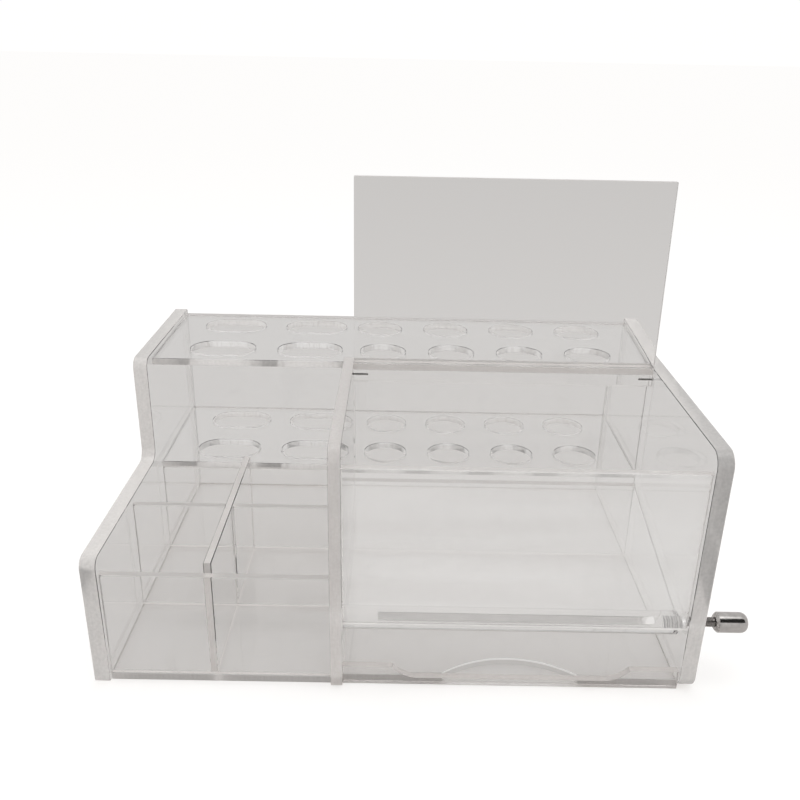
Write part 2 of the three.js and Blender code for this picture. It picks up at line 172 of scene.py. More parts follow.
class SizeSettings(PropertyGroup):
    """Sizes that the frame's boxes don't give."""

    hole_diameter: length("Hole diameter", 26 * MM, "Round holes of both shelves")
    slot_length: length("Slot length", 38.5 * MM, "Slots of both shelves")
    slot_width: length("Slot width", 24 * MM, "Slots of both shelves")
    front_radius: length("Front radius", 8 * MM, "Upper front corners of the tall panels")
    low_radius: length("Low radius", 6 * MM, "Left panel's front corners")
    foot_radius: length("Foot radius", 9 * MM, "Right panel's front foot")
    step_radius: length("Step radius", 7 * MM, "Inside the left panel's step")
    back_radius: length("Back radius", 1.2 * MM, "Rear and foot corners of the side panels")
    step_ahead: length("Step ahead", 11 * MM, "Left panel's tall part in front of the shelves")
    step_rise: length("Step rise", 8 * MM, "Left panel's low part above the lower shelf")
    rod_hole: length("Rod hole", 12.86 * MM, "The rod's bearing in the middle panel")
    stud_hole: length("Stud hole", 5.12 * MM, "The stud's bearing in the right panel")
    pin_hole: length("Pin hole", 1.28 * MM, "Blind holes for the hinge pins")
    pin_depth: length("Pin hole depth", 3.9 * MM, "Blind holes for the hinge pins")
    lid_lean: angle("Lid lean", 1.5, "Past upright, at rest")
    lid_thickness: length("Lid thickness", 3 * MM, "Thin sheet of the lid")
    edge_break: length("Edge break", 0.4 * MM, "Polished break along each sheet's edges")
    notch_chord: length("Notch width", 70 * MM, "Arched finger notch in the base")
    notch_depth: length("Notch depth", 12.4 * MM, "Arched finger notch in the base")
    lip_end: length("Lip end", 25 * MM, "Full-height stretch of the lip at each side")
    scoop_run: length("Scoop run", 13.5 * MM, "Each curved end of the lip's scoop")
    groove_width: length("Groove width", 3.8 * MM, "Groove along the rod")
    groove_depth: length("Groove depth", 3 * MM, "Groove along the rod")
    groove_left: length("Groove left", 17.6 * MM, "From the middle panel to the groove")
    groove_right: length("Groove right", 15 * MM, "From the groove to the right panel")
    groove_runout: length("Groove run-out", 11 * MM, "Curved stretch at the groove's right end")
    groove_tilt: angle("Groove tilt", 49, "How far the groove faces above the front")
    rod_chamfer: length("Rod chamfer", 2 * MM, "Chamfer at the rod's right end")
    thread_pitch: length("Thread pitch", 0.8 * MM, "Stud's thread")
    thread_depth: length("Thread depth", 0.42 * MM, "Stud's thread")
    tap_clear: length("Tap clearance", 0.3 * MM, "From the stud's inner end to the tapped hole's")
    knob_dome: length("Knob dome", 4.2 * MM, "Rounding of the knob's outer end")
    knob_chamfer: length("Knob chamfer", 1.3 * MM, "Chamfer of the knob's inner end")
    bore: length("Bore", 5 * MM, "Tapped holes in the rod and the knob")


class StageSettings(PropertyGroup):
    """Floor, light and camera."""

    floor_colour: colour("Floor", (0.97, 0.97, 0.97), "Plain pale floor, as it is seen")
    paper_colour: colour("Paper", (0.578, 0.569, 0.563), "Floor as clear and shiny pieces show it")
    paper_roughness: share("Paper roughness", 0.9, "Roughness of the floor and the sheet on it")
    fibre_size: length("Fibre size", 2 * MM, "Width of the paper's fibres")
    sky: FloatProperty(name="Sky", description="Strength of the room's light", default=1.02, min=0)
    walls: FloatProperty(
        name="Walls", description="Room as clear and shiny pieces show it", default=0.68, min=0
    )
    key_energy: FloatProperty(
        name="Key light", description="Power of the overhead softbox", default=3.0, min=0, unit="POWER"
    )
    lamp_place: place("Lamp place", (0.1, -0.3, 1.4), "Middle of the overhead softbox")
    lamp_width: length("Lamp width", 1.2, "Softbox, left to right")
    lamp_depth: length("Lamp depth", 0.9, "Softbox, front to back")
    lamp_tilt: angle("Lamp tilt", -12, "Softbox turned towards the object")
    card_place: place("Card place", (0.3, -0.925, 1.325), "Middle of the dark card")
    card_width: length("Card width", 3.5, "Dark card, left to right")
    card_height: length("Card height", 1.37, "Dark card, along its slope")
    card_lean: angle("Card lean", 56.9, "Dark card, up from level")
    card_grey: share("Card grey", 0.02, "How dark the dark card is")
    camera_place: place(
        "Camera place", (-1.151 * MM, -451.459 * MM, 302.228 * MM), "Where the camera stands"
    )
    camera_heading: angle("Heading", 0.185, "Camera turned to the right")
    camera_tilt: angle("Tilt", 22.632, "Camera below level")
    camera_roll: angle("Roll", 1.131, "Camera leant to the left")
    camera_lens: FloatProperty(
        name="Lens", description="Focal length on a 36 mm sensor, in mm", default=38.411, min=1
    )


# Node trees


def value_of(tree, socket, source):
    """Feeds a socket from another socket, or sets it."""
    if isinstance(source, bpy.types.NodeSocket):
        tree.links.new(source, socket)
    else:
        socket.default_value = source


def maths(tree, operation, *sources):
    node = tree.nodes.new("ShaderNodeMath")
    node.operation = operation
    for socket, source in zip(node.inputs, sources):
        value_of(tree, socket, source)
    return node.outputs[0]


def ranged(tree, source, from_low, from_high, to_low, to_high):
    node = tree.nodes.new("ShaderNodeMapRange")
    for socket, number in zip(node.inputs, (source, from_low, from_high, to_low, to_high)):
        value_of(tree, socket, number)
    return node.outputs[0]


def shaded(tone, factor):
    """A colour made lighter or darker."""
    return [min(part * factor, 1) for part in tone]


def blended(tree, factor, first, second):
    """A colour between two colours."""
    node = tree.nodes.new("ShaderNodeMix")
    node.data_type = "RGBA"
    value_of(tree, node.inputs["Factor"], factor)
    for socket, source in zip((node.inputs[6], node.inputs[7]), (first, second)):
        value_of(tree, socket, source if isinstance(source, bpy.types.NodeSocket) else (*source, 1))
    return node.outputs[2]


def noise(tree, where, size, detail=3.0, stretch=(1, 1, 1)):
    """Cloudy grey of a given width, in object space."""
    mapping = tree.nodes.new("ShaderNodeMapping")
    mapping.inputs["Scale"].default_value = stretch
    tree.links.new(where, mapping.inputs["Vector"])
    node = tree.nodes.new("ShaderNodeTexNoise")
    node.inputs["Scale"].default_value = 1 / size
    node.inputs["Detail"].default_value = detail
    tree.links.new(mapping.outputs[0], node.inputs["Vector"])
    return node.outputs[0]


def bumped(tree, height, strength, distance):
    node = tree.nodes.new("ShaderNodeBump")
    node.inputs["Strength"].default_value = strength
    node.inputs["Distance"].default_value = distance
    tree.links.new(height, node.inputs["Height"])
    return node.outputs[0]


def new_material(name):
    material = bpy.data.materials.new(name)
    material.use_nodes = True
    tree = material.node_tree
    return material, tree, tree.nodes["Principled BSDF"], tree.nodes["Material Output"]


def object_place(tree):
    return tree.nodes.new("ShaderNodeTexCoord").outputs["Object"]


def along(tree, where, axis):
    """One coordinate of a place."""
    parts = tree.nodes.new("ShaderNodeSeparateXYZ")
    tree.links.new(where, parts.inputs[0])
    return parts.outputs[axis]


def let_lamps_through(tree, shader, out, tint):
    """Lets lamps and the floor's light pass a clear piece."""
    path = tree.nodes.new("ShaderNodeLightPath")
    open_to = maths(tree, "MAXIMUM", path.outputs["Is Shadow Ray"], path.outputs["Is Diffuse Ray"])
    clear = tree.nodes.new("ShaderNodeBsdfTransparent")
    value_of(tree, clear.inputs[0], tint)
    mix = tree.nodes.new("ShaderNodeMixShader")
    tree.links.new(open_to, mix.inputs[0])
    tree.links.new(shader.outputs[0], mix.inputs[1])
    tree.links.new(clear.outputs[0], mix.inputs[2])
    tree.links.new(mix.outputs[0], out.inputs["Surface"])


def clear_surface(tree, shader, out, look, tone, roughness, clearness, normal):
    """Fills in the shader of a clear piece."""
    sources = {
        "Base Color": tone,
        "Roughness": roughness,
        "Transmission Weight": clearness,
        "IOR": look.refraction,
        "Normal": normal,
    }
    for key, source in sources.items():
        value_of(tree, shader.inputs[key], source)
    let_lamps_through(tree, shader, out, tone)


def sheet_acrylic(name, look, normal, edge_colour, edge_clear, edge_roughness, veil=0):
    """Clear sheet: bright faces square to the normal, with rougher edges round it."""
    material, tree, shader, out = new_material(name)
    coordinates = tree.nodes.new("ShaderNodeTexCoord")
    where = coordinates.outputs["Object"]
    facing = tree.nodes.new("ShaderNodeVectorMath")
    facing.operation = "DOT_PRODUCT"
    tree.links.new(coordinates.outputs["Normal"], facing.inputs[0])
    facing.inputs[1].default_value = normal
    square = maths(tree, "ABSOLUTE", facing.outputs["Value"])
    edge = ranged(tree, square, 0.35, 0.75, 1, 0)

    smears = noise(tree, where, look.smear_size, 4.0)
    mottle = noise(tree, where, look.mottle_size, 5.0)
    saw = noise(tree, where, look.mottle_size / 2, 2.0, (1, 1, 0.12))
    wiped = noise(tree, where, look.wipe_size, 3.0, (0.12, 1, 2))
    worn = maths(tree, "MULTIPLY", edge, ranged(tree, mottle, 0.3, 0.65, 0.85, 1))
    sawn = ranged(tree, saw, 0.3, 0.7, 0, 1)
    edge_tone = blended(tree, sawn, edge_colour, shaded(edge_colour, 1.1))
    tone = blended(tree, worn, look.sheet_tint, edge_tone)

    face_roughness = ranged(tree, smears, 0.45, 0.8, 0.0, 0.02)
    worn_roughness = maths(tree, "MULTIPLY", worn, edge_roughness)
    roughness = maths(tree, "ADD", face_roughness, worn_roughness)
    face_clear = ranged(tree, wiped, 0.3, 0.7, 1 - 0.7 * veil, 1 - 1.3 * veil)
    clearness = ranged(tree, worn, 0, 1, face_clear, edge_clear)
    grain = bumped(tree, maths(tree, "MULTIPLY", edge, saw), 0.15, 0.05 * MM)
    clear_surface(tree, shader, out, look, tone, roughness, clearness, grain)
    return material


def drilled_acrylic(name, look, rim=None):
    """Walls that a sharp cutter leaves, with fine marks and, from a height up, a painted highlight: a
    white rim where light catches the top edge.
    """
    material, tree, shader, out = new_material(name)
    where = object_place(tree)
    marks = noise(tree, where, look.mottle_size / 2, 3.0, (1, 1, 0.15))
    clearness = look.rim_clear if rim else look.drilled_clear
    if rim:
        # Painted highlight: white from the given height up, the grey wall below
        lit = ranged(tree, along(tree, where, "Z"), rim, rim + 0.4 * MM, 0, 1)
        tone = blended(tree, lit, look.rim_wall, look.painted_highlight_white)
    else:
        scraped = ranged(tree, marks, 0.5, 0.75, 0, 0.6)
        tone = blended(tree, scraped, look.sheet_tint, look.edge_colour)
    roughness = ranged(tree, marks, 0.35, 0.7, 0.02, 0.12)
    grain = bumped(tree, marks, 0.2, 0.04 * MM)
    clear_surface(tree, shader, out, look, tone, roughness, clearness, grain)
    return material


def rod_acrylic(name, look):
    """Clear cast rod with faint turning marks round it."""
    material, tree, shader, out = new_material(name)
    where = object_place(tree)
    rings = noise(tree, where, 3 * MM, 3.0, (4, 0.2, 0.2))
    streaks = noise(tree, where, 4 * MM, 3.0, (0.08, 1, 1))
    cloudy = ranged(tree, streaks, 0.35, 0.7, 0, 0.35)
    tone = blended(tree, cloudy, look.rod_tint, shaded(look.rod_tint, 0.85))
    roughness = ranged(tree, streaks, 0.4, 0.7, 0.01, 0.08)
    clear_surface(
        tree, shader, out, look, tone, roughness, 1, bumped(tree, rings, 0.15, 0.02 * MM)
    )
    return material


def milled_acrylic(name, look, run_out):
    """Frosted walls that a milling cutter leaves, with a painted highlight, white and less clear,
    where the groove runs out to the right.
    """
    material, tree, shader, out = new_material(name)
    where = object_place(tree)
    marks = noise(tree, where, 6 * MM, 3.0, (0.5, 3, 3))
    streaked = ranged(tree, marks, 0.35, 0.65, 0, 1)
    walls = blended(tree, streaked, look.groove_colour, shaded(look.groove_colour, 1.5))
    # The noise's middle value of a half puts the painted highlight's start 6 mm further on
    jagged = noise(tree, where, 1.5 * MM)
    glint_reach = maths(tree, "MULTIPLY_ADD", jagged, 12 * MM, along(tree, where, "X"))
    # Painted highlight: white past the given start, where the curved run-out catches the light
    painted_glint = ranged(tree, glint_reach, run_out + 5 * MM, run_out + 9 * MM, 0, 0.9)
    tone = blended(tree, painted_glint, walls, look.painted_highlight_white)
    roughness = ranged(tree, marks, 0.3, 0.7, 0.3, 0.55)
    clearness = ranged(tree, painted_glint, 0, 1, 0.6, 0.15)
    grain = bumped(tree, marks, 0.2, 0.05 * MM)
    clear_surface(tree, shader, out, look, tone, roughness, clearness, grain)
    return material


def tapped_acrylic(name, look):
    """Rough threads cut in the rod, with dark lines of painted shade across them, for the shade in the
    thread grooves.
    """
    material, tree, shader, out = new_material(name)
    turns = tree.nodes.new("ShaderNodeTexWave")
    turns.wave_type, turns.bands_direction = "BANDS", "X"
    # A wave texture at scale 1 repeats every 2 pi / 20
    turns.inputs["Scale"].default_value = 2 * pi / 20 / look.line_spacing
    turns.inputs["Distortion"].default_value = 1.5
    turns.inputs["Detail"].default_value = 3
    turns.inputs["Detail Scale"].default_value = 3
    tree.links.new(object_place(tree), turns.inputs["Vector"])
    lines = turns.outputs["Fac"]
    # Painted shade: dark lines between lighter wall, as the thread grooves' shade
    tone = blended(tree, ranged(tree, lines, 0.4, 0.75, 0, 1), look.painted_thread_shade, look.rim_wall)
    roughness = ranged(tree, lines, 0, 1, 0.35, 0.15)
    grain = bumped(tree, lines, 0.3, 0.08 * MM)
    clear_surface(tree, shader, out, look, tone, roughness, 0.15, grain)
    return material


def turned_metal(name, tone, roughness, spread, ring_size):
    """Plated metal with fine rings from the lathe and faint handling marks."""
    material, tree, shader, _ = new_material(name)
    where = object_place(tree)
    rings = noise(tree, where, ring_size, 2.0, (1, 0.04, 0.04))
    smudges = noise(tree, where, 3 * MM, 4.0)
    sources = {
        "Base Color": blended(tree, ranged(tree, smudges, 0.35, 0.7, 0, 1), tone, shaded(tone, 0.82)),
        "Roughness": ranged(tree, smudges, 0.35, 0.7, roughness, roughness + spread),
        "Normal": bumped(tree, rings, 0.12, 0.02 * MM),
        "Metallic": 1,
    }
    for key, source in sources.items():
        value_of(tree, shader.inputs[key], source)
    return material


def paper_tone(tree, look):
    """Grey with faint fibres."""
    fibre = noise(tree, object_place(tree), look.fibre_size, 2.0)
    return blended(tree, fibre, shaded(look.paper_colour, 0.98), look.paper_colour)


def material_of(name, make, *values):
    """A material by name, made the first time it is asked for."""
    return bpy.data.materials.get(name) or make(name, *values)


def sheet_material(look, normal, edges="sawn", veil=0):
    """Sheet acrylic for one lie of the sheet and one finish of its edges."""
    finishes = {
        "sawn": (look.edge_colour, look.sawn_clear, look.sawn_roughness),
        "polished": (look.polished_colour, look.polished_clear, look.polished_roughness),
        "flamed": (look.edge_colour, look.lip_clear, look.polished_roughness / 3),
    }
    axis = "xyz"[max(range(3), key=lambda i: abs(normal[i]))]
    slant = "_sloped" if sum(abs(n) > 0.01 for n in normal) > 1 else ""
    wiped = "_wiped" if veil else ""
    name = f"{edges}_acrylic_{axis}{slant}{wiped}"
    return material_of(name, sheet_acrylic, look, normal, *finishes[edges], veil)


# Modelling


def activate(piece):
    bpy.ops.object.select_all(action="DESELECT")
    piece.select_set(True)
    bpy.context.view_layer.objects.active = piece


def settle(piece, name, material=None):
    """Names a fresh primitive and puts its place and size into its mesh."""
    piece.name = name
    if material:
        piece.data.materials.append(material)
    bpy.ops.object.transform_apply(location=True, rotation=True, scale=True)
    return piece


def block(name, low, high, material=None):
    low, high = Vector(low), Vector(high)
    bpy.ops.object.select_all(action="DESELECT")
    bpy.ops.mesh.primitive_cube_add(size=1, location=(low + high) / 2, scale=high - low)
    return settle(bpy.context.object, name, material)


def plane(name, middle, size, lean=0):
    """A flat sheet, level or leant about X."""
    bpy.ops.object.select_all(action="DESELECT")
    bpy.ops.mesh.primitive_plane_add(size=1, location=middle, rotation=(lean, 0, 0))
    sheet = bpy.context.object
    sheet.scale = (*size, 1)
    return settle(sheet, name)


def barrel(name, radius, start, end, sides, material=None):
    """A cylinder between two points on a line along X or Z."""
    start, end = Vector(start), Vector(end)
    turn = (0, radians(90), 0) if abs(end.x - start.x) > abs(end.z - start.z) else (0, 0, 0)
    bpy.ops.object.select_all(action="DESELECT")
    bpy.ops.mesh.primitive_cylinder_add(
        vertices=sides,
        radius=radius,
        depth=(end - start).length,
        location=(start + end) / 2,
        rotation=turn,
    )
    return settle(bpy.context.object, name, material)


def bar(name, radius, start, end, axis, sides, material=None):
    """A cylinder along X between two x, on an axis given by its y and z."""
    return barrel(name, radius, (start, *axis), (end, *axis), sides, material)


def stand(piece, lean, axis):
    """Leans a piece made at the origin and moves it to an axis along X."""
    activate(piece)
    piece.rotation_euler.x = lean
    piece.location = (0, *axis)
    bpy.ops.object.transform_apply(location=True, rotation=True, scale=True)


def choose(piece, kind, test):
    """Opens edit mode on a piece with only the faces or edges that pass the test selected."""
    activate(piece)
    bpy.ops.object.mode_set(mode="EDIT")
    bpy.ops.mesh.select_mode(type=kind)
    bpy.ops.mesh.select_all(action="DESELECT")
    bpy.ops.object.mode_set(mode="OBJECT")
    mesh = piece.data
    if kind == "VERT":
        for vertex in mesh.vertices:
            vertex.select = test(vertex.co)
    elif kind == "EDGE":
        for edge in mesh.edges:
            edge.select = test(*(mesh.vertices[i].co for i in edge.vertices))
    else:
        for face in mesh.polygons:
            face.select = test(face.center, face.normal)
    bpy.ops.object.mode_set(mode="EDIT")


def leave_edit():
    bpy.ops.object.mode_set(mode="OBJECT")


def round_edges(piece, test, radius, steps, profile=0.5):
    choose(piece, "EDGE", test)
    bpy.ops.mesh.bevel(offset=radius, segments=steps, profile=profile, affect="EDGES")
    leave_edit()


def cut(piece, *tools):
    """Takes the tools' shapes out of a piece; cut walls keep their tool's material."""
    for tool in tools:
        if not tool.data.materials:
            tool.data.materials.append(piece.data.materials[0])
        modifier = piece.modifiers.new("cut", "BOOLEAN")
        modifier.operation = "DIFFERENCE"
        modifier.solver = "EXACT"
        modifier.material_mode = "TRANSFER"
        modifier.object = tool
        activate(piece)
        bpy.ops.object.modifier_apply(modifier=modifier.name)
        bpy.data.objects.remove(tool)


def joined(pieces):
    activate(pieces[0])
    for piece in pieces[1:]:
        piece.select_set(True)
    bpy.ops.object.join()
    return bpy.context.object


def break_edges(piece, width):
    """A polished break along every sharp edge."""
    modifier = piece.modifiers.new("break", "BEVEL")
    modifier.width = width
    modifier.segments = 2
    modifier.limit_method = "ANGLE"
    modifier.angle_limit = radians(35)
    activate(piece)
    bpy.ops.object.modifier_apply(modifier=modifier.name)


def finish_piece(piece, node, body):
    """Shades a piece and puts it in its CAD node's place."""
    activate(piece)
    bpy.ops.object.shade_smooth_by_angle(angle=radians(16))
    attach(piece, body)
    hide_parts(node)


def centre_line(node):
    """The y and z of the middle of a CAD node that lies along X."""
    low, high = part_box(node)
    return (low.y + high.y) / 2, (low.z + high.z) / 2


def dress(node, material):
    """Gives a carried-over CAD node one material."""
    mesh = frame["nodes"][node].data
    mesh.materials.clear()
    mesh.materials.append(material)


def corner(y, z):
    """Picks the edge that runs through a sheet at one corner of its outline."""
    near = 10 * NEAR
    return lambda a, b: all(abs(p.y - y) < near and abs(p.z - z) < near for p in (a, b))


def threaded(name, x_start, stretches, axis, crest, root, pitch, material):
    """A stud along X: each stretch gives its end and whether it is threaded."""
    tip = pitch / 4
    stud = bar(name, root, x_start, x_start + tip, axis, THREAD_SIDES, material)
    x = x_start + tip
    choose(stud, "FACE", lambda centre, normal: normal.x > 0.9)
    radius = root

    def grow(step, to_radius):
        nonlocal x, radius
        bpy.ops.mesh.extrude_region_move(TRANSFORM_OT_translate={"value": (step, 0, 0)})
        x += step
        if to_radius != radius:
            scale = to_radius / radius
            bpy.ops.transform.resize(value=(1, scale, scale), center_override=(x, *axis))
            radius = to_radius

    # One turn's rise, crest, fall and root, as shares of the pitch
    turn = ((0.3, crest), (0.15, crest), (0.4, root), (0.15, root))
    for end, is_threaded in stretches:
        if is_threaded:
            while x + pitch < end:
                for step, to_radius in turn:
                    grow(step * pitch, to_radius)
            if end - x > NEAR:
                grow(end - x, root)
        else:
            grow(tip, crest)
            grow(end - x - tip, crest)
            grow(tip, root)
    leave_edit()
    return stud


# Operators


class ORGANISER_OT_sheets(Operator):
    """Polish the flat sheets that the frame brings"""

    bl_idname = "organiser.sheets"
    bl_label = "Polish sheets"

    def execute(self, context):
        look = context.scene.organiser_acrylic
        normals = dict(SHEET_NORMALS)
        low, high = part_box("hopper_sloped_floor")
        run = high.y - low.y
        normals["hopper_sloped_floor"] = Vector((0, low.z - high.z, run)).normalized()
        for node, normal in normals.items():
            veil = look.veil if node == "hopper_front_panel" else 0
            dress(node, sheet_material(look, normal, "sawn", veil))
        return {"FINISHED"}


class ORGANISER_OT_side_panels(Operator):
    """Cut the two side panels, round their corners and drill the right one"""

    bl_idname = "organiser.side_panels"
    bl_label = "Cut side panels"

    def execute(self, context):
        look, sizes = context.scene.organiser_acrylic, context.scene.organiser_sizes
        clear = sheet_material(look, (1, 0, 0), "polished")
        self.left(sizes, clear)
        self.right(look, sizes, clear)
        return {"FINISHED"}

    def left(self, sizes, clear):
        low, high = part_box("left_side_panel")
        shelf_low, shelf_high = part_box("lower_shelf")
        step_y, step_z = shelf_low.y - sizes.step_ahead, shelf_high.z + sizes.step_rise
        panel = block("left_sheet", low, high, clear)
        step_low = (low.x - OVER, low.y - OVER, step_z)
        cut(panel, block("step", step_low, (high.x + OVER, step_y, high.z + OVER)))
        for y, z, radius in (
            (low.y, low.z, sizes.back_radius),
            (high.y, high.z, sizes.back_radius),
            (step_y, high.z, sizes.low_radius),
            (step_y, step_z, sizes.step_radius),
            (low.y, step_z, sizes.low_radius),
        ):
            round_edges(panel, corner(y, z), radius, CORNER_STEPS)
        break_edges(panel, sizes.edge_break)
        finish_piece(panel, "left_side_panel", "case")

    def right(self, look, sizes, clear):
        low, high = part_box("right_side_panel")
        panel = block("right_sheet", low, high, clear)
        for y, z, radius in (
            (low.y, low.z, sizes.foot_radius),
            (high.y, high.z, sizes.back_radius),
            (low.y, high.z, sizes.front_radius),
        ):
            round_edges(panel, corner(y, z), radius, CORNER_STEPS)
        drilled = material_of("drilled_acrylic", drilled_acrylic, look)
        bored = material_of("bored_acrylic", rod_acrylic, look)
        start, end, pin_end = low.x - OVER, high.x + OVER, low.x + sizes.pin_depth
        stud, pin = centre_line("roller_stud"), centre_line("hinge_pin_right")
        cut(
            panel,
            bar("hole", sizes.stud_hole / 2, start, end, stud, STUD_HOLE_SIDES, drilled),
            bar("hole", sizes.pin_hole / 2, start, pin_end, pin, WIRE_SIDES, bored),
        )
        break_edges(panel, sizes.edge_break)
        finish_piece(panel, "right_side_panel", "case")


class ORGANISER_OT_middle_panel(Operator):
    """Cut the middle panel over the base and bore the rod's bearing"""

    bl_idname = "organiser.middle_panel"
    bl_label = "Cut middle panel"

    def execute(self, context):
        look, sizes = context.scene.organiser_acrylic, context.scene.organiser_sizes
        low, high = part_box("middle_panel")
        base_low, base_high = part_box("base_panel")
        panel = block("middle_sheet", low, high, sheet_material(look, (1, 0, 0)))
        round_edges(panel, corner(low.y, high.z), sizes.front_radius, CORNER_STEPS)
        seat_low = (low.x - OVER, base_low.y, low.z - OVER)
        seat_high = (high.x + OVER, high.y + OVER, base_high.z)
        drilled = material_of("drilled_acrylic", drilled_acrylic, look)
        bored = material_of("bored_acrylic", rod_acrylic, look)
        start, end, pin_start = low.x - OVER, high.x + OVER, high.x - sizes.pin_depth
        rod, pin = centre_line("roller_rod"), centre_line("hinge_pin_left")
        cut(
            panel,
            block("seat", seat_low, seat_high),
            bar("hole", sizes.rod_hole / 2, start, end, rod, ROD_SIDES, drilled),
            bar("hole", sizes.pin_hole / 2, pin_start, end, pin, WIRE_SIDES, bored),
        )
        break_edges(panel, sizes.edge_break)
        finish_piece(panel, "middle_panel", "case")
        return {"FINISHED"}


class ORGANISER_OT_lid(Operator):
    """Cut the lid, drill it for its pins and lean it back on them"""

    bl_idname = "organiser.lid"
    bl_label = "Cut lid"

    def execute(self, context):
        look, sizes = context.scene.organiser_acrylic, context.scene.organiser_sizes
        low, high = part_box("lid_panel")
        y, z = centre_line("hinge_pin_left")
        lean, half = sizes.lid_lean, sizes.lid_thickness / 2
        # The leant sheet's lowest and highest corners give its two ends
        tail = (z - low.z - half * sin(lean)) / cos(lean)
        reach = (high.z - z - half * sin(lean)) / cos(lean)
        clear = sheet_material(look, (0, 1, 0))
        lid = block("lid_sheet", (low.x, -half, -tail), (high.x, half, reach), clear)
        bored = material_of("bored_acrylic", rod_acrylic, look)
        for start, end in (
            (low.x - OVER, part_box("hinge_pin_left")[1].x),
            (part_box("hinge_pin_right")[0].x, high.x + OVER),
        ):
            cut(lid, bar("hole", sizes.pin_hole / 2, start, end, (0, 0), WIRE_SIDES, bored))
        break_edges(lid, sizes.edge_break)
        stand(lid, -lean, (y, z))
        finish_piece(lid, "lid_panel", "lid")
        return {"FINISHED"}


class ORGANISER_OT_shelves(Operator):
    """Drill both shelves"""

    bl_idname = "organiser.shelves"
    bl_label = "Drill shelves"

    def execute(self, context):
        look, sizes = context.scene.organiser_acrylic, context.scene.organiser_sizes
        clear = sheet_material(look, (0, 0, 1), "polished")
        drilled = material_of("drilled_acrylic", drilled_acrylic, look)
        for node in ("top_shelf", "lower_shelf"):
            low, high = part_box(node)
            shelf = block(f"{node}_sheet", low, high, clear)
            cut(shelf, joined([*self.drills(sizes, low.z - OVER, high.z + OVER, drilled)]))
            break_edges(shelf, sizes.edge_break)
            finish_piece(shelf, node, "case")
        return {"FINISHED"}

    def drills(self, sizes, bottom, top, material):
        """One drill for each round hole and one milling cutter for each slot."""
        for name, (low, high) in OPENINGS.items():
            if not name.startswith(("slot_", "hole_")):
                continue
            x, y = (low.x + high.x) / 2, (low.y + high.y) / 2
            slot = name.startswith("slot_")
            radius = (sizes.slot_width if slot else sizes.hole_diameter) / 2
            drill = barrel("drill", radius, (x, y, bottom), (x, y, top), HOLE_SIDES, material)
            if slot:
                run = sizes.slot_length / 2 - radius
                for side in (-1, 1):
                    choose(drill, "VERT", lambda co, side=side, x=x: (co.x - x) * side > -NEAR)
                    bpy.ops.transform.translate(value=(side * run, 0, 0))
                    leave_edit()
            yield drill


class ORGANISER_OT_base(Operator):
    """Cut the base round the delivery lip and arch its finger notch"""

    bl_idname = "organiser.base"
    bl_label = "Cut base"

    def execute(self, context):
        look, sizes = context.scene.organiser_acrylic, context.scene.organiser_sizes
        low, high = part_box("base_panel")
        lip_low, lip_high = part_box("delivery_lip")
        base = block("base_sheet", low, high, sheet_material(look, (0, 0, 1)))
        bottom, top = low.z - OVER, high.z + OVER
        step_low = (lip_low.x, lip_low.y - OVER, bottom)
        step = block("step", step_low, (lip_high.x + OVER, lip_high.y, top))
        depth, half = sizes.notch_depth, sizes.notch_chord / 2
        radius = (half**2 + depth**2) / (2 * depth)
        x, y = (lip_low.x + lip_high.x) / 2, lip_high.y + depth - radius
        # The notch's wall gets a painted highlight along its top rim
        wall = material_of("notch_acrylic", drilled_acrylic, look, high.z - look.highlight_height)
        arch = barrel("arch", radius, (x, y, bottom), (x, y, top), NOTCH_SIDES, wall)
        cut(base, step, arch)
        break_edges(base, sizes.edge_break)
        finish_piece(base, "base_panel", "case")
        return {"FINISHED"}


class ORGANISER_OT_lip(Operator):
    """Scoop the delivery lip"""

    bl_idname = "organiser.lip"
    bl_label = "Scoop lip"

    def execute(self, context):
        look, sizes = context.scene.organiser_acrylic, context.scene.organiser_sizes
        low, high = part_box("delivery_lip")
        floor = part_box("base_panel")[1].z
        middle = (low.x + high.x) / 2
        rise = high.z - floor
        radius = (sizes.scoop_run**2 + rise**2) / (2 * rise)
        reach = (high.x - low.x) / 2 - sizes.lip_end - sizes.scoop_run + radius
        lip = block("lip_strip", low, high, sheet_material(look, (0, 1, 0), "flamed"))
        scoop_low = (middle - reach, low.y - OVER, floor)
        scoop = block("scoop", scoop_low, (middle + reach, high.y + OVER, floor + 2 * radius))
        round_edges(
            scoop,
            lambda a, b: max(a.z, b.z) < floor + NEAR and abs(a.x - b.x) < NEAR,
            radius,
            SCOOP_STEPS,
        )
        cut(lip, scoop)
        break_edges(lip, sizes.edge_break)
        finish_piece(lip, "delivery_lip", "case")
        return {"FINISHED"}


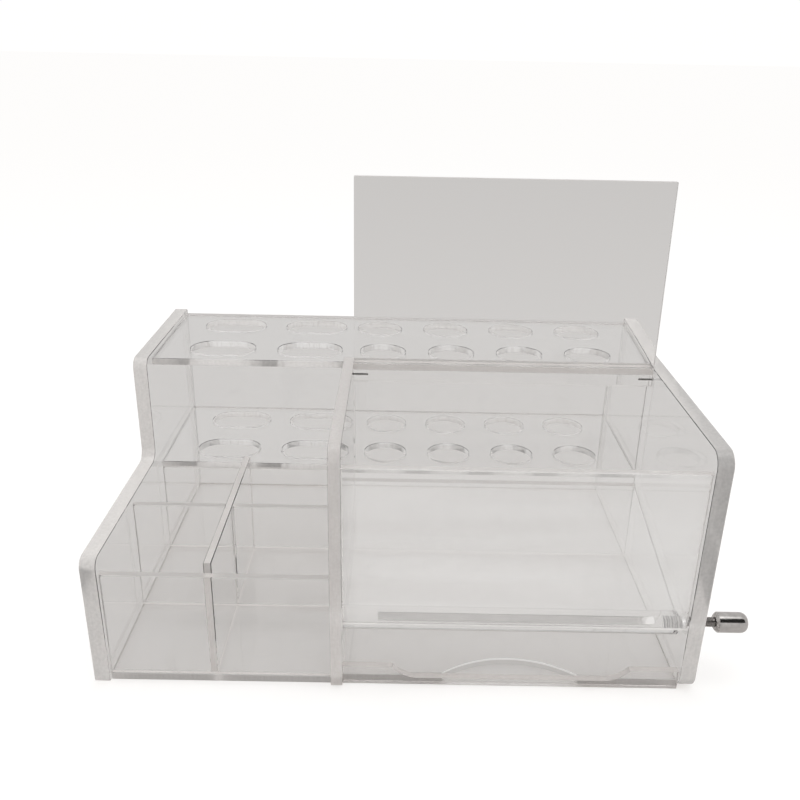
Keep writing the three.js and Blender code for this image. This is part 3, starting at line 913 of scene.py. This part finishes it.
class ORGANISER_OT_roller(Operator):
    """Turn the rod, mill its groove, and thread the stud and its tapped hole"""

    bl_idname = "organiser.roller"
    bl_label = "Make roller"

    def execute(self, context):
        scene = context.scene
        look, metals, sizes = scene.organiser_acrylic, scene.organiser_metals, scene.organiser_sizes
        axis = centre_line("roller_rod")
        low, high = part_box("roller_stud")
        crest = (high.y - low.y) / 2
        root = crest - sizes.thread_depth
        self.stud(metals, sizes, axis, crest, root)
        gap = sizes.bore / 2 - crest
        self.rod(look, sizes, axis, crest + gap, root + gap)
        return {"FINISHED"}

    def stud(self, metals, sizes, axis, crest, root):
        low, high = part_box("roller_stud")
        panel_low, panel_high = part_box("right_side_panel")
        # Plain where it turns in the panel
        stretches = ((panel_low.x, True), (panel_high.x, False), (high.x, True))
        finish = (metals.steel, metals.steel_roughness, 0.2, metals.steel_rings)
        steel = material_of("threaded_steel", turned_metal, *finish)
        stud = threaded("stud", low.x, stretches, axis, crest, root, sizes.thread_pitch, steel)
        finish_piece(stud, "roller_stud", "roller")

    def rod(self, look, sizes, axis, tap_crest, tap_root):
        low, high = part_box("roller_rod")
        radius = (high.y - low.y) / 2
        clear = material_of("rod_acrylic", rod_acrylic, look)
        rod = bar("rod", radius, low.x, high.x, axis, ROD_SIDES, clear)
        round_edges(rod, lambda a, b: min(a.x, b.x) > high.x - NEAR, sizes.rod_chamfer, 1)
        round_edges(rod, lambda a, b: max(a.x, b.x) < low.x + NEAR, sizes.edge_break, 1)
        tap_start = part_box("roller_stud")[0].x - sizes.tap_clear
        stretches = ((high.x + sizes.rod_chamfer, True),)
        tapped = material_of("tapped_acrylic", tapped_acrylic, look)
        pitch = sizes.thread_pitch
        tap = threaded("tap", tap_start, stretches, axis, tap_crest, tap_root, pitch, tapped)
        cut(rod, tap, self.groove_cutter(look, sizes, radius, axis))
        finish_piece(rod, "roller_rod", "roller")

    def groove_cutter(self, look, sizes, radius, axis):
        """A bar whose one end curves up as a large cutter leaves it."""
        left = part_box("middle_panel")[1].x + sizes.groove_left
        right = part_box("right_side_panel")[0].x - sizes.groove_right
        depth, runout = sizes.groove_depth, sizes.groove_runout
        # The painted highlight covers the last stretch of the run-out
        glint_start = right - 0.6 * runout
        milled = material_of("milled_acrylic", milled_acrylic, look, glint_start)
        curve = (runout**2 + depth**2) / (2 * depth)
        floor = radius - depth
        half = sizes.groove_width / 2
        high = (right - runout + curve, half, floor + 1.5 * curve)
        cutter = block("bar", (left, -half, floor), high, milled)
        round_edges(
            cutter,
            lambda a, b: min(a.x, b.x) > left + NEAR and max(a.z, b.z) < floor + NEAR,
            curve,
            GROOVE_STEPS,
        )
        stand(cutter, radians(90) - sizes.groove_tilt, axis)
        return cutter


class ORGANISER_OT_knob(Operator):
    """Turn the domed knob"""

    bl_idname = "organiser.knob"
    bl_label = "Turn knob"

    def execute(self, context):
        metals, sizes = context.scene.organiser_metals, context.scene.organiser_sizes
        low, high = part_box("knob")
        axis = centre_line("knob")
        finish = (metals.nickel, metals.nickel_roughness, 0.08, metals.nickel_rings)
        nickel = material_of("turned_nickel", turned_metal, *finish)
        knob = bar("turned_knob", (high.y - low.y) / 2, low.x, high.x, axis, KNOB_SIDES, nickel)
        # Bevel profiles: 0.5 is a true arc, lower is flatter and higher is fuller
        round_edges(
            knob, lambda a, b: min(a.x, b.x) > high.x - NEAR, sizes.knob_dome, DOME_STEPS, 0.56
        )
        round_edges(knob, lambda a, b: max(a.x, b.x) < low.x + NEAR, sizes.knob_chamfer, 2, 0.3)
        bore_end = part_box("roller_stud")[1].x
        bore = bar("bore", sizes.bore / 2, low.x - OVER, bore_end, axis, THREAD_SIDES)
        cut(knob, bore)
        finish_piece(knob, "knob", "roller")
        return {"FINISHED"}


class ORGANISER_OT_pins(Operator):
    """Draw the two hinge pins with rounded ends"""

    bl_idname = "organiser.pins"
    bl_label = "Draw pins"

    def execute(self, context):
        metals = context.scene.organiser_metals
        finish = (metals.wire, metals.wire_roughness, 0.17, metals.wire_rings)
        wire = material_of("pin_wire", turned_metal, *finish)
        for node in ("hinge_pin_left", "hinge_pin_right"):
            low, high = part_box(node)
            radius = (high.z - low.z) / 2
            pin = bar(f"{node}_wire", radius, low.x, high.x, centre_line(node), WIRE_SIDES, wire)
            round_edges(pin, lambda a, b: abs(a.x - b.x) < NEAR, radius / 2, 4)
            finish_piece(pin, node, "lid")
        return {"FINISHED"}


class ORGANISER_OT_stage(Operator):
    """Lay the floor, light the room and place the camera"""

    bl_idname = "organiser.stage"
    bl_label = "Set stage"

    def execute(self, context):
        look = context.scene.organiser_stage
        self.floor(look)
        self.shaded_paper_under_base(look)
        self.room(context.scene, look)
        self.lamp(context.scene, look)
        self.dark_card(look)
        self.camera(context.scene, look)
        context.scene.view_settings.view_transform = "Standard"
        return {"FINISHED"}

    def floor(self, look):
        floor = plane("floor", (0, 0, -0.05 * MM), (40, 40))
        material, tree, shader, _ = new_material("pale_floor")
        path = tree.nodes.new("ShaderNodeLightPath")
        tone = blended(tree, path.outputs["Is Camera Ray"], paper_tone(tree, look), look.floor_colour)
        tree.links.new(tone, shader.inputs["Base Color"])
        shader.inputs["Roughness"].default_value = look.paper_roughness
        shader.inputs["Specular IOR Level"].default_value = 0
        floor.data.materials.append(material)

    def shaded_paper_under_base(self, look):
        """A grey sheet just under the base, which shows through the finger notch: the backdrop paper's
        grey, and painted shade under the object where the rest of the floor shows white.
        """
        low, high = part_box("base_panel")
        middle = ((low.x + high.x) / 2, (low.y + high.y) / 2, -0.02 * MM)
        # Painted shade: the floor under the base is grey for every ray, as it is in shade
        sheet = plane("shaded_paper_under_base", middle, (high.x - low.x, high.y - low.y))
        material, tree, shader, _ = new_material("grey_paper_painted_shade")
        tree.links.new(paper_tone(tree, look), shader.inputs["Base Color"])
        shader.inputs["Roughness"].default_value = look.paper_roughness
        sheet.data.materials.append(material)

    def room(self, scene, look):
        world = bpy.data.worlds.new("room")
        world.use_nodes = True
        scene.world = world
        tree = world.node_tree
        background = tree.nodes["Background"]
        path = tree.nodes.new("ShaderNodeLightPath")
        glossy, refracted = path.outputs["Is Glossy Ray"], path.outputs["Is Transmission Ray"]
        shown = maths(tree, "MAXIMUM", glossy, refracted)
        strength = ranged(tree, shown, 0, 1, look.sky, look.walls)
        tree.links.new(strength, background.inputs["Strength"])
        background.inputs["Color"].default_value = (1, 0.99, 0.98, 1)

    def lamp(self, scene, look):
        softbox = bpy.data.lights.new("softbox", "AREA")
        softbox.shape = "RECTANGLE"
        softbox.size, softbox.size_y = look.lamp_width, look.lamp_depth
        softbox.energy = look.key_energy
        lamp = bpy.data.objects.new("softbox", softbox)
        lamp.location = look.lamp_place
        lamp.rotation_euler.x = look.lamp_tilt
        scene.collection.objects.link(lamp)

    def dark_card(self, look):
        """A dark card above the camera, seen only in reflections."""
        size = (look.card_width, look.card_height)
        card = plane("dark_card", look.card_place, size, look.card_lean)
        material, _, shader, _ = new_material("dark_card")
        shader.inputs["Base Color"].default_value = (*3 * (look.card_grey,), 1)
        shader.inputs["Roughness"].default_value = 1
        card.data.materials.append(material)
        for flag in ("camera", "diffuse", "transmission", "shadow"):
            setattr(card, f"visible_{flag}", False)

    def camera(self, scene, look):
        data = bpy.data.cameras.new("camera")
        data.sensor_width = 36
        data.lens = look.camera_lens
        camera = bpy.data.objects.new("camera", data)
        scene.collection.objects.link(camera)
        camera.matrix_world = (
            Matrix.Translation(look.camera_place)
            @ Matrix.Rotation(-look.camera_heading, 4, "Z")
            @ Matrix.Rotation(radians(90) - look.camera_tilt, 4, "X")
            @ Matrix.Rotation(look.camera_roll, 4, "Z")
        )
        scene.camera = camera


class ORGANISER_PT_panel(Panel):
    """Lists the organiser's operators"""

    bl_idname = "ORGANISER_PT_panel"
    bl_label = "Stick Dispenser Organiser"
    bl_space_type = "VIEW_3D"
    bl_region_type = "UI"
    bl_category = "Organiser"

    def draw(self, context):
        for operator in OPERATORS:
            self.layout.operator(operator.bl_idname)
        for name in SETTINGS:
            settings = getattr(context.scene, name)
            box = self.layout.box()
            for key in settings.__annotations__:
                box.prop(settings, key)


SETTINGS = {
    "organiser_acrylic": AcrylicSettings,
    "organiser_metals": MetalSettings,
    "organiser_sizes": SizeSettings,
    "organiser_stage": StageSettings,
}
OPERATORS = (
    ORGANISER_OT_stage,
    ORGANISER_OT_sheets,
    ORGANISER_OT_side_panels,
    ORGANISER_OT_middle_panel,
    ORGANISER_OT_lid,
    ORGANISER_OT_shelves,
    ORGANISER_OT_base,
    ORGANISER_OT_lip,
    ORGANISER_OT_roller,
    ORGANISER_OT_knob,
    ORGANISER_OT_pins,
)
CLASSES = (*SETTINGS.values(), *OPERATORS, ORGANISER_PT_panel)


def register():
    for cls in CLASSES:
        bpy.utils.register_class(cls)
    for name, cls in SETTINGS.items():
        setattr(bpy.types.Scene, name, PointerProperty(type=cls))


def unregister():
    for name in SETTINGS:
        delattr(bpy.types.Scene, name)
    for cls in reversed(CLASSES):
        bpy.utils.unregister_class(cls)


def main():
    register()
    for operator in OPERATORS:
        group, name = operator.bl_idname.split(".")
        getattr(getattr(bpy.ops, group), name)()


if __name__ == "__main__":
    main()
